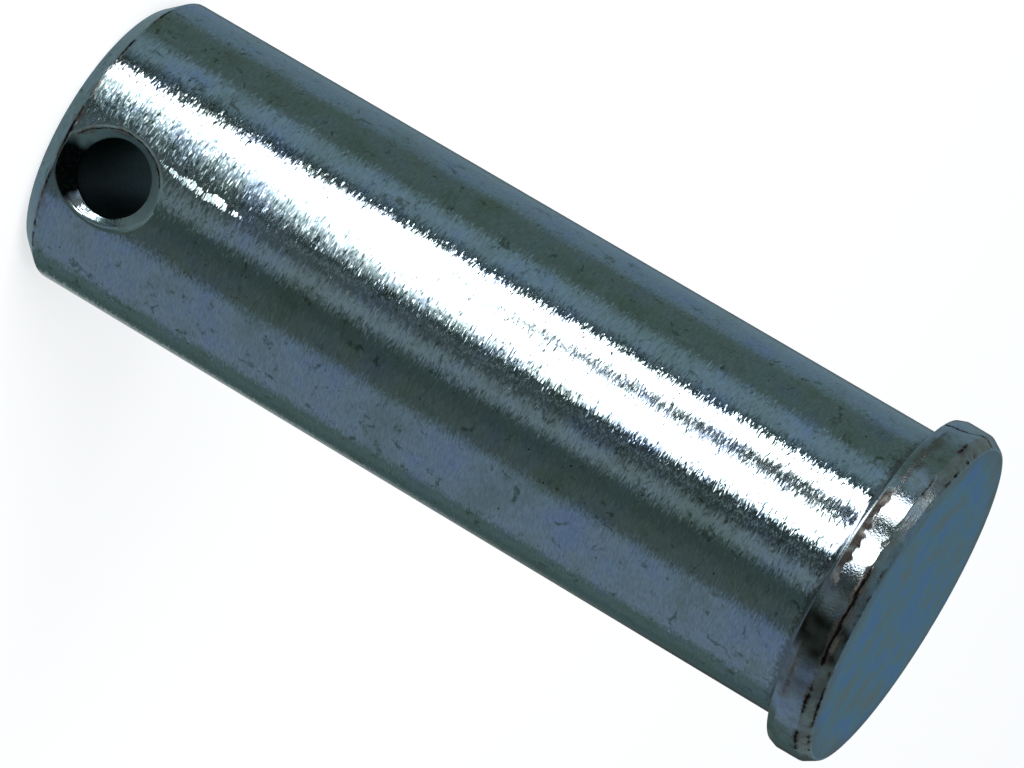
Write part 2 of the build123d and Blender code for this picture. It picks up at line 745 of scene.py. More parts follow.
    def dirt_and_shade_at(self, turn: float, point: Vector) -> float:
        """Gives the dirt on the back bevel's near side, also painted shade under the rim where the key would
        show, between 0 and 1.
        """
        s = self.sizes
        ragged = self.rim_dirt_and_shade_ragged * noise.noise(point / (0.4 * MM))
        across = smooth_step(s.seat_height + 0.12 * MM, s.seat_height + 0.30 * MM, point.z)
        across *= 1 - smooth_step(s.rim_bottom + 0.12 * MM, s.rim_bottom + 0.24 * MM, point.z + ragged)
        return min(1.0, across * self.rim_dirt_and_shade.share(turn) * (1.1 + 0.4 * noise.noise(point / (0.6 * MM))))

    def inward(self, point: Vector, radius: float) -> Vector:
        """Gives the direction into the metal at a point of the head or of the tail's edge."""
        if point.z > self.sizes.length - TOUCH:
            return Vector((0, 0, -1))
        level = Vector((-point.x, -point.y, 0)) / radius
        if point.z > self.sizes.rim_top:
            return (level + Vector((0, 0, -0.6))).normalized()
        return level


@dataclass(frozen=True)
class Rise:
    """A straight rise: values from low to high become values from start to end."""

    low: float
    high: float
    start: float = 0.0
    end: float = 1.0

    def of(self, value: Socket) -> dict[str, Any]:
        """Gives what a map range node takes."""
        return {"Value": value, "From Min": self.low, "From Max": self.high,
                "To Min": self.start, "To Max": self.end}


@dataclass(frozen=True)
class Grain:
    """A noise: the real size of its spots, how many finer ones it has, and how strong and bent they are."""

    size: float
    detail: float
    roughness: float = 0.5
    distortion: float = 0.0

    def at(self, place: Socket) -> dict[str, Any]:
        """Gives what a noise node takes."""
        return {"Vector": place, "Scale": 1 / self.size, "Detail": self.detail,
                "Roughness": self.roughness, "Distortion": self.distortion}


@dataclass(frozen=True)
class EdgeMark:
    """A mark along a worn edge: its reach in shares of the spread, how wear raises it and how full it is."""

    reach: float
    gain: float
    top: float


@dataclass(frozen=True)
class ZincPlate:
    """What the pin's finishes share: the plate's tones, the scale in its chips and the noises that mottle it.

    Bright zinc with a clear passivate looks like a pale grey mirror with soft clouds of blue. Where an edge is
    worn, the eye sees a brown haze, rust and black scale in the cracks.
    """

    name: str
    plate: str = "#a9b6bc"
    shade: str = "#9ba9a9"
    tint: str = "#a2aec6"
    scale: str = "#171413"
    rust: str = "#685f5a"
    halo: str = "#8d8681"
    roughness: float = 0.18
    rust_roughness: float = 0.5
    scale_roughness: float = 0.7
    clouds: Grain = Grain(1.6 * MM, 8.0, 0.62)
    cloud_stretch: float = 1.0
    cloud_turn: float = 0.0
    softness: float = 0.16
    skin: Grain = Grain(0.3 * MM, 3.0)
    skin_height: float = 0.02 * MM
    cracks: Grain = Grain(1.2 * MM, 4.0, 0.6)
    crack_swing: float = 0.9
    patches: Grain = Grain(0.5 * MM, 7.0, 0.75)
    patch_weight: float = 1.8
    patch_low: float = 1.35
    patch_high: float = 1.85
    scale_mark: EdgeMark = EdgeMark(0.38, 1.45, 0.95)
    rust_mark: EdgeMark = EdgeMark(0.90, 1.30, 0.85)
    halo_edge: Rise = Rise(0.45, 0.58)

    def start(self) -> tuple[bpy.types.Material, Tree, Socket, Socket]:
        """Makes the empty material.

        Returns:
            The material, its node tree, the object coordinates and the fine noise of the plate's skin.
        """
        material = bpy.data.materials.new(self.name)
        material.use_nodes = True
        tree = material.node_tree
        tree.nodes.clear()
        place = add_node(tree, "TexCoord").outputs["Object"]
        return material, tree, place, add_node(tree, "TexNoise", {}, self.skin.at(place)).outputs["Fac"]

    def mottle(self, tree: Tree, place: Socket) -> Socket:
        """Mixes the plate's tones in soft clouds, as passivate leaves them.

        Args:
            tree: the material's node tree.
            place: the object coordinates.

        Returns:
            The colour.
        """
        along = add_node(tree, "Mapping", {"vector_type": "TEXTURE"}, {
            "Vector": place, "Rotation": (0.0, 0.0, self.cloud_turn), "Scale": (self.cloud_stretch, 1.0, 1.0)})
        clouds = add_node(tree, "TexNoise", {}, self.clouds.at(along.outputs[0])).outputs["Fac"]
        stops = [(0.5 - self.softness, linear(self.shade)), (0.5, linear(self.plate)),
                 (0.5 + self.softness, linear(self.tint))]
        return add_node(tree, "ValToRGB", {"stops": stops}, {"Fac": clouds}).outputs["Color"]

    def worn(self, tree: Tree, place: Socket, colour: Socket, roughness: Socket) -> dict[str, Socket | float]:
        """Lays a brown haze, rust patches and black cracks over the plate along a worn edge.

        Args:
            tree: the material's node tree.
            place: the object coordinates.
            colour: the whole plate's colour.
            roughness: the whole plate's roughness.

        Returns:
            The shader's colour, roughness and metal share.
        """
        strength = add_node(tree, "Attribute", {"attribute_name": "edge_wear"}).outputs["Fac"]
        offset = add_node(tree, "Attribute", {"attribute_name": "edge_offset"}).outputs["Fac"]
        cracks = add_node(tree, "TexNoise", {}, self.cracks.at(place)).outputs["Fac"]
        patches = add_node(tree, "TexNoise", {}, self.patches.at(place)).outputs["Fac"]
        swung = add_node(tree, "Math", {"operation": "MULTIPLY_ADD"}, {
            0: cracks, 1: self.crack_swing, 2: offset}).outputs[0]
        away = add_node(tree, "Math", {"operation": "SUBTRACT"}, {
            0: swung, 1: self.crack_swing / 2}).outputs[0]
        away = add_node(tree, "Math", {"operation": "ABSOLUTE"}, {0: away}).outputs[0]
        black = self.marked(tree, away, strength, patches, self.scale_mark)
        brown = self.marked(tree, away, strength, patches, self.rust_mark)
        haze = add_node(tree, "MapRange", {}, self.halo_edge.of(cracks)).outputs[0]
        faint = add_node(tree, "Math", {"operation": "MULTIPLY"}, {0: strength, 1: haze}).outputs[0]
        for share, tone in ((faint, self.halo), (brown, self.rust), (black, self.scale)):
            colour = add_node(tree, "Mix", COLOURS, {0: share, 6: colour, 7: linear(tone)}).outputs[2]
        for share, rough in ((brown, self.rust_roughness), (black, self.scale_roughness)):
            roughness = add_node(tree, "Mix", VALUES, {0: share, 2: roughness, 3: rough}).outputs[0]
        return {"Base Color": colour, "Roughness": roughness, "Metallic": 1.0}

    def marked(self, tree: Tree, away: Socket, strength: Socket, patches: Socket, mark: EdgeMark) -> Socket:
        """Makes the mask of a mark that follows an edge and comes and goes along it.

        Args:
            tree: the material's node tree.
            away: the distance from the mark's middle.
            strength: how worn the edge is.
            patches: the noise that breaks up the mark.
            mark: the mark.

        Returns:
            The mask.
        """
        near = add_node(tree, "MapRange", {}, Rise(0.0, mark.reach, mark.gain, 0.0).of(away)).outputs[0]
        raised = add_node(tree, "Math", {"operation": "MULTIPLY"}, {0: strength, 1: near}).outputs[0]
        broken = add_node(tree, "Math", {"operation": "MULTIPLY_ADD"}, {
            0: patches, 1: self.patch_weight, 2: raised}).outputs[0]
        shown = Rise(self.patch_low, self.patch_high, 0.0, mark.top)
        return add_node(tree, "MapRange", {}, shown.of(broken)).outputs[0]


@dataclass(frozen=True)
class TurnedZincPlate(ZincPlate):
    """Bright zinc over turned steel bar: fine marks run round the axis, so a lamp smears along it.

    Each mark leans a little to one side, which frays the edges of what the metal reflects. Real turning marks
    are a few hundredths of a millimetre apart, too fine to show, so they are drawn coarser here. Just below
    the head the plate is brown from the upsetting and darkened as painted shade in the crease. Beside the
    cross hole a chip has dragged a broken bright line.
    """

    name: str = "zinc_plated_steel_turned"
    shade: str = "#9ca9a6"
    tint: str = "#a2b0c7"
    darkening: str = "#5f6b5e"
    # Brown from the upsetting, and painted shade in the crease under the head
    brown_and_shade: str = "#5e5650"
    roughness: float = 0.11
    roughness_spread: float = 0.03
    clouds: Grain = Grain(4.5 * MM, 8.0, 0.62)
    mark_spacing: float = 0.15 * MM
    mark_length: float = 0.60 * MM
    mark_grain: Grain = Grain(1.0, 1.5, 0.55)
    mark_shift: float = 40 * MM
    mark_edge: float = 0.04
    lean: float = 0.006
    far_lean: float = 2.1
    most_lean: float = 0.046
    tail_lean: float = 4.3
    calm_lean: float = 1.6
    tail_reach: float = 22 * MM
    worn_middle: float = -4.2 * MM
    worn_near: float = 1.8 * MM
    worn_far: float = 3.8 * MM
    rock: float = 0.3
    shine: Rise = Rise(0.25, 0.75, 0.76, 1.10)
    blur_low: float = 0.35
    blur_high: float = 0.65
    drag_place: tuple[float, float, float] = (-2.88 * MM, -12.16 * MM, 13.4 * MM)
    drag_turn: tuple[float, float, float] = (0.0, 0.065, -0.233)
    drag_width: float = 0.80 * MM
    drag_length: float = 9.0 * MM
    drag_lean: float = 0.33
    drag_wander: float = 1.3 * MM
    drag_pieces: Grain = Grain(1.7 * MM, 2.0)
    drag_broken: float = 0.9
    drag_weight: float = 0.45
    drag_side: Rise = Rise(0.5, 1.3, 1.0, 0.0)
    drag_edge: Rise = Rise(0.81, 0.85)
    stains: Grain = Grain(1.3 * MM, 6.0, 0.7, 0.6)
    stain_edge: Rise = Rise(0.585, 0.65, 0.0, 0.75)
    pit_spacing: float = 2.2 * MM
    pit_ragged: float = 0.10
    pit_edge: Rise = Rise(0.075, 0.10, 0.9, 0.0)
    # Just below the head: brown, and painted shade that dims the highlight in the crease
    brown_and_shade_height: Rise = Rise(69.8 * MM, 70.8 * MM, 0.0, 0.5)
    brown_and_shade_edge: Rise = Rise(0.68, 0.92, 0.0, 0.6)

    def build(self) -> bpy.types.Material:
        """Makes the material.

        Returns:
            The finished material.
        """
        material, tree, place, skin = self.start()
        leaning = self.marks(tree, place, Vector((0, 0, 0)))
        rocking = self.marks(tree, place, Vector((self.mark_shift, 0, 0)))
        blurring = self.marks(tree, place, Vector((0, self.mark_shift, 0)))
        shine = add_node(tree, "MapRange", {}, self.shine.of(rocking)).outputs[0]
        base = add_node(tree, "Mix", {**COLOURS, "blend_type": "MULTIPLY"}, {
            0: 1.0, 6: self.stained_and_shaded(tree, place, skin), 7: shine}).outputs[2]
        blur = Rise(self.blur_low, self.blur_high, self.roughness - self.roughness_spread,
                    self.roughness + self.roughness_spread)
        rough = add_node(tree, "MapRange", {}, blur.of(blurring)).outputs[0]
        looks = self.worn(tree, place, base, rough)
        tangent = add_node(tree, "Tangent", {"direction_type": "RADIAL", "axis": "Z"}).outputs[0]
        shader = add_node(tree, "BsdfPrincipled", {}, {
            **looks, "Anisotropic": 1.0, "Anisotropic Rotation": 0.25, "Tangent": tangent,
            "Normal": self.tilted(tree, tangent, self.dragged(tree, place, leaning, rocking), rocking)})
        add_node(tree, "OutputMaterial", {}, {"Surface": shader.outputs[0]})
        return material

    def marks(self, tree: Tree, place: Socket, shift: Vector) -> Socket:
        """Makes the noise of the turning marks, long round the axis and short along it.

        Args:
            tree: the material's node tree.
            place: the object coordinates.
            shift: how far the noise is moved, so that two of them differ.

        Returns:
            The noise, between 0 and 1.
        """
        squeeze = Vector((1 / self.mark_length, 1 / self.mark_length, 1 / self.mark_spacing))
        at = add_node(tree, "Mapping", {}, {
            "Vector": place, "Scale": squeeze, "Location": shift * (1 / self.mark_length)}).outputs[0]
        return add_node(tree, "TexNoise", {}, self.mark_grain.at(at)).outputs["Fac"]

    def stained_and_shaded(self, tree: Tree, place: Socket, skin: Socket) -> Socket:
        """Lays small dull stains, a few pits, and brown with painted shade just below the head over the
        mottled plate.

        Args:
            tree: the material's node tree.
            place: the object coordinates.
            skin: the fine noise.

        Returns:
            The colour.
        """
        stains = add_node(tree, "TexNoise", {}, self.stains.at(place)).outputs["Fac"]
        dull = add_node(tree, "MapRange", {}, self.stain_edge.of(stains)).outputs[0]
        cells = add_node(tree, "TexVoronoi", {"feature": "F1"}, {
            "Vector": place, "Scale": 1 / self.pit_spacing})
        ragged = add_node(tree, "Math", {"operation": "MULTIPLY_ADD"}, {
            0: skin, 1: self.pit_ragged, 2: cells.outputs["Distance"]}).outputs[0]
        pits = add_node(tree, "MapRange", {}, self.pit_edge.of(ragged)).outputs[0]
        # Brown and painted shade in the crease just below the head
        height = add_node(tree, "SeparateXYZ", {}, {0: place}).outputs["Z"]
        risen = add_node(tree, "MapRange", {}, self.brown_and_shade_height.of(height)).outputs[0]
        uneven = add_node(tree, "Math", {"operation": "ADD"}, {0: risen, 1: skin}).outputs[0]
        brown_and_shade = add_node(tree, "MapRange", {}, self.brown_and_shade_edge.of(uneven)).outputs[0]
        colour = self.mottle(tree, place)
        for share, tone in ((dull, self.darkening), (pits, self.scale), (brown_and_shade, self.brown_and_shade)):
            colour = add_node(tree, "Mix", COLOURS, {0: share, 6: colour, 7: linear(tone)}).outputs[2]
        return colour

    def leant(self, tree: Tree, place: Socket, leaning: Socket, varying: Socket) -> Socket:
        """Leans each mark to one side or the other, more near the tail, and most by the cross hole.

        Args:
            tree: the material's node tree.
            place: the object coordinates.
            leaning: the noise that tells which way a mark leans.
            varying: the noise that tells how far.

        Returns:
            How much the surface tilts sideways.
        """
        turning = Rise(0.5 - self.mark_edge, 0.5 + self.mark_edge, -1.0, 1.0)
        way = add_node(tree, "MapRange", {"interpolation_type": "SMOOTHSTEP"}, turning.of(leaning)).outputs[0]
        off = add_node(tree, "Math", {"operation": "SUBTRACT"}, {0: varying, 1: 0.5}).outputs[0]
        squared = add_node(tree, "Math", {"operation": "MULTIPLY"}, {0: off, 1: off}).outputs[0]
        much = add_node(tree, "Math", {"operation": "MULTIPLY_ADD"}, {
            0: squared, 1: self.far_lean, 2: self.lean}).outputs[0]
        much = add_node(tree, "Math", {"operation": "MINIMUM"}, {0: much, 1: self.most_lean}).outputs[0]
        parts = add_node(tree, "SeparateXYZ", {}, {0: place}).outputs
        aside = add_node(tree, "Math", {"operation": "SUBTRACT"}, {
            0: parts["X"], 1: self.worn_middle}).outputs[0]
        aside = add_node(tree, "Math", {"operation": "ABSOLUTE"}, {0: aside}).outputs[0]
        easing = Rise(self.worn_near, self.worn_far, self.tail_lean, self.calm_lean)
        most = add_node(tree, "MapRange", {}, easing.of(aside)).outputs[0]
        deeper = add_node(tree, "MapRange", {}, {
            "Value": parts["Z"], "From Max": self.tail_reach, "To Min": most, "To Max": 1.0}).outputs[0]
        gain = add_node(tree, "Math", {"operation": "MULTIPLY"}, {0: much, 1: deeper}).outputs[0]
        return add_node(tree, "Math", {"operation": "MULTIPLY"}, {0: way, 1: gain}).outputs[0]

    def dragged(self, tree: Tree, place: Socket, leaning: Socket, varying: Socket) -> Socket:
        """Adds the broken line that a chip dragged along the shank beside the cross hole.

        Args:
            tree: the material's node tree.
            place: the object coordinates.
            leaning: the noise that tells which way a mark leans.
            varying: the noise that tells how far a mark leans; it frays the line too.

        Returns:
            How much the surface tilts sideways.
        """
        pieces = add_node(tree, "TexNoise", {}, self.drag_pieces.at(place)).outputs
        wander = add_node(tree, "VectorMath", {"operation": "MULTIPLY_ADD"}, {
            0: pieces["Color"], 1: (self.drag_wander,) * 3, 2: (-self.drag_wander / 2,) * 3}).outputs[0]
        moved = add_node(tree, "VectorMath", {"operation": "ADD"}, {0: place, 1: wander}).outputs[0]
        at = add_node(tree, "Mapping", {"vector_type": "TEXTURE"}, {
            "Vector": moved, "Location": self.drag_place, "Rotation": self.drag_turn,
            "Scale": (self.drag_width / 2, 3 * self.drag_width, self.drag_length / 2)}).outputs[0]
        away = add_node(tree, "VectorMath", {"operation": "LENGTH"}, {0: at}).outputs["Value"]
        inside = add_node(tree, "MapRange", {}, self.drag_side.of(away)).outputs[0]
        weight = add_node(tree, "Math", {"operation": "MULTIPLY_ADD"}, {
            0: pieces["Fac"], 1: self.drag_broken, 2: self.drag_weight - self.drag_broken / 2}).outputs[0]
        ragged = add_node(tree, "Math", {"operation": "MULTIPLY_ADD"}, {
            0: inside, 1: weight, 2: varying}).outputs[0]
        share = add_node(tree, "MapRange", {}, self.drag_edge.of(ragged)).outputs[0]
        return add_node(tree, "Math", {"operation": "MULTIPLY_ADD"}, {
            0: share, 1: -self.drag_lean, 2: self.leant(tree, place, leaning, varying)}).outputs[0]

    def tilted(self, tree: Tree, tangent: Socket, leaning: Socket, rocking: Socket) -> Socket:
        """Tilts the surface a little at each mark: to the side, and along the axis.

        Args:
            tree: the material's node tree.
            tangent: the direction round the axis.
            leaning: how much it tilts sideways.
            rocking: the noise that tilts along the axis.

        Returns:
            The tilted normal.
        """
        normal = add_node(tree, "NewGeometry").outputs["Normal"]
        along = add_node(tree, "Math", {"operation": "MULTIPLY_ADD"}, {
            0: rocking, 1: self.rock, 2: -self.rock / 2}).outputs[0]
        leant = add_node(tree, "VectorMath", {"operation": "SCALE"}, {0: tangent, "Scale": leaning}).outputs[0]
        rocked = add_node(tree, "CombineXYZ", {}, {"Z": along}).outputs[0]
        both = add_node(tree, "VectorMath", {"operation": "ADD"}, {0: leant, 1: rocked}).outputs[0]
        total = add_node(tree, "VectorMath", {"operation": "ADD"}, {0: both, 1: normal}).outputs[0]
        return add_node(tree, "VectorMath", {"operation": "NORMALIZE"}, {0: total}).outputs[0]


@dataclass(frozen=True)
class FormedZincPlate(ZincPlate):
    """Zinc over an upset, pressed or drilled surface: no turning marks, but a mottled, slightly rough skin.

    Stains, painted shade and dull patches lie where the mesh says. Grime comes in clouds, and a round face may
    brown in patches towards its edge.
    """

    # The tone of the stains and of the painted shade
    stained_and_shaded: str = "#3a3532"
    dulled: str = "#8fa2a3"
    grimy: str = "#7c736a"
    browned: str = "#9a8874"
    stain_and_shade_cover: Rise = Rise(0.2, 0.5, 0.94, 1.0)
    dull_roughness: float = 0.6
    grime: float = 0.0
    grime_clouds: Grain = Grain(0.9 * MM, 6.0, 0.7)
    grime_low: float = 0.45
    grime_high: float = 0.62
    edge_radius: float = 0.0
    edge_reach: float = 3.0 * MM
    edge_share: float = 0.6
    edge_patches: Grain = Grain(3.0 * MM, 5.0, 0.6)
    edge_cover: Rise = Rise(0.72, 1.05, 0.0, 0.85)

    def build(self) -> bpy.types.Material:
        """Makes the material.

        Returns:
            The finished material.
        """
        material, tree, place, skin = self.start()
        # The mesh's darkening: painted shade in the countersinks and on the rim, dirt and painted shade on the
        # back bevel
        darkening = add_node(tree, "Attribute", {"attribute_name": "rim_stain"}).outputs["Fac"]
        uneven = add_node(tree, "MapRange", {}, self.stain_and_shade_cover.of(skin)).outputs[0]
        cover = add_node(tree, "Math", {"operation": "MULTIPLY"}, {0: uneven, 1: darkening}).outputs[0]
        dullness = add_node(tree, "Attribute", {"attribute_name": "dullness"}).outputs["Fac"]
        colour = self.tinged(tree, place)
        for share, tone in ((dullness, self.dulled), (cover, self.stained_and_shaded)):
            colour = add_node(tree, "Mix", COLOURS, {0: share, 6: colour, 7: linear(tone)}).outputs[2]
        rough = add_node(tree, "Mix", VALUES, {
            0: dullness, 2: self.roughness, 3: self.dull_roughness}).outputs[0]
        bump = add_node(tree, "Bump", {}, {"Height": skin, "Distance": self.skin_height, "Strength": 1.0})
        shader = add_node(tree, "BsdfPrincipled", {}, {
            **self.worn(tree, place, colour, rough), "Normal": bump.outputs[0]})
        add_node(tree, "OutputMaterial", {}, {"Surface": shader.outputs[0]})
        return material

    def tinged(self, tree: Tree, place: Socket) -> Socket:
        """Mottles the plate, lays the grime over it and browns a round face towards its edge.

        Args:
            tree: the material's node tree.
            place: the object coordinates.

        Returns:
            The colour.
        """
        colour = self.mottle(tree, place)
        if self.grime:
            clouds = add_node(tree, "TexNoise", {}, self.grime_clouds.at(place)).outputs["Fac"]
            cover = Rise(self.grime_low, self.grime_high, 0.0, self.grime)
            share = add_node(tree, "MapRange", {}, cover.of(clouds)).outputs[0]
            colour = add_node(tree, "Mix", COLOURS, {0: share, 6: colour, 7: linear(self.grimy)}).outputs[2]
        if not self.edge_radius:
            return colour
        level = add_node(tree, "VectorMath", {"operation": "MULTIPLY"}, {
            0: place, 1: (1.0, 1.0, 0.0)}).outputs[0]
        radius = add_node(tree, "VectorMath", {"operation": "LENGTH"}, {0: level}).outputs["Value"]
        towards = Rise(self.edge_radius - self.edge_reach, self.edge_radius, 0.0, self.edge_share)
        outward = add_node(tree, "MapRange", {}, towards.of(radius)).outputs[0]
        patches = add_node(tree, "TexNoise", {}, self.edge_patches.at(place)).outputs["Fac"]
        raised = add_node(tree, "Math", {"operation": "ADD"}, {0: outward, 1: patches}).outputs[0]
        share = add_node(tree, "MapRange", {}, self.edge_cover.of(raised)).outputs[0]
        return add_node(tree, "Mix", COLOURS, {0: share, 6: colour, 7: linear(self.browned)}).outputs[2]


@dataclass
class CouplingPin:
    """The whole pin, which is one piece."""

    sizes: PinSizes
    camera_azimuth: float
    brown_margin: float = 0.45 * MM

    def build(self) -> bpy.types.Object:
        """Builds the pin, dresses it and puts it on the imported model's body.

        Returns:
            The pin's object.
        """
        piece = PinMesh(self.sizes, self.camera_azimuth).build()
        for material in self.finishes():
            piece.data.materials.append(material)
        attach(piece, "root")
        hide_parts(NODE)
        return piece

    def finishes(self) -> list[bpy.types.Material]:
        """Makes the finishes, in the order of the zones."""
        return [
            # The shank's fine marks smear a lamp along the pin and fray its edges
            TurnedZincPlate().build(),
            # The die left the rim smooth but rippled: nearly a mirror, with wavy light spots, brown grime and
            # painted shade
            FormedZincPlate("zinc_plated_steel_upset", roughness=0.10, clouds=Grain(2.5 * MM, 8.0, 0.62),
                            skin=Grain(0.16 * MM, 3.0), skin_height=0.012 * MM, grime=0.45).build(),
            # The pressed face is satin: it shows no clear image, only blue and brown clouds drawn out one way
            FormedZincPlate("zinc_plated_steel_pressed", plate="#8aacb8", shade="#a39f98", tint="#7f9fd6",
                            roughness=0.32, clouds=Grain(2.4 * MM, 8.0, 0.62, 0.3), cloud_stretch=1.3,
                            cloud_turn=-1.06, softness=0.12, skin_height=0.006 * MM,
                            edge_radius=self.sizes.head_radius - self.brown_margin).build(),
            # The cutter left the cones bright, with black painted shade on one side and a dull film on the
            # other
            FormedZincPlate("zinc_plated_steel_countersunk", roughness=0.09, skin=Grain(0.25 * MM, 3.0),
                            skin_height=0.014 * MM, stained_and_shaded="#0c0d0d", dulled="#9cb1b2").build(),
            # Little zinc is thrown into the bore, so its drilled wall is plain; its dark tone is painted shade
            # in the hole
            FormedZincPlate("zinc_plated_steel_drilled", plate="#2f4544", shade="#253634", tint="#2a3b40",
                            roughness=0.4).build(),
        ]


@dataclass(frozen=True)
class PhotoCamera:
    """The photograph's viewpoint, round the pin's axis: azimuth 0 looks along +Y."""

    aim: tuple[float, float, float] = (0.85 * MM, -0.23 * MM, 39.15 * MM)
    azimuth: float = -14.947
    elevation: float = 15.029
    roll: float = 120.669
    distance: float = 453.45 * MM
    focal_pixels: float = 5812.3
    picture_width: int = 1024
    sensor_width: float = 36.0
    nearest: float = 0.01
    farthest: float = 100.0

    def build(self) -> bpy.types.Object:
        """Makes the camera and the scene looks through it.

        Returns:
            The camera.
        """
        data = bpy.data.cameras.new("photo_camera")
        data.sensor_width = self.sensor_width
        data.lens = self.focal_pixels / self.picture_width * self.sensor_width
        data.clip_start, data.clip_end = self.nearest, self.farthest
        camera = bpy.data.objects.new("photo_camera", data)
        bpy.context.scene.collection.objects.link(camera)
        azimuth, elevation = math.radians(self.azimuth), math.radians(self.elevation)
        back = Vector((math.sin(azimuth) * math.cos(elevation), -math.cos(azimuth) * math.cos(elevation),
                       math.sin(elevation)))
        level = (-back).to_track_quat("-Z", "Y").to_matrix()
        turned = level @ Matrix.Rotation(math.radians(self.roll), 3, "Z")
        camera.matrix_world = Matrix.Translation(Vector(self.aim) + back * self.distance) @ turned.to_4x4()
        bpy.context.scene.camera = camera
        return camera


@dataclass(frozen=True)
class Band:
    """A stretch of the surround with one tone, given by the angles on the shank that show it.

    The tone may change from the shank's tail to its head.
    """

    left: float
    right: float
    tail: Tone
    head: Tone | None = None


@dataclass(frozen=True)
class Card:
    """A self-lit card before the surround, placed by where the shank shows it.

    Each knot is (height on the shank, left edge, right edge): the edges are angles round the shank from the
    line to the camera. Each tone is (height on the shank, red, green, blue), at the left edge; fade is the
    share of it left at the right edge. Nearer is how far the card stands before the surround.
    """

    name: str
    knots: tuple[tuple[float, float, float], ...]
    tones: tuple[tuple[float, float, float, float], ...]
    nearer: float = 1.0 * MM
    fade: Tone = (1.0, 1.0, 1.0)


@dataclass(frozen=True)
class Glint:
    """A light field on the hood's side, from one heading to another and from one height to another."""

    left: float
    right: float
    low: float
    high: float
    tone: Tone


# The lamp's face by the height that shows it: brighter than white, and dim at its top
LAMP_FACE = ((0.0, 6.0, 6.1, 6.2), (118 * MM, 6.0, 6.1, 6.2), (124 * MM, 0.3, 0.32, 0.33))


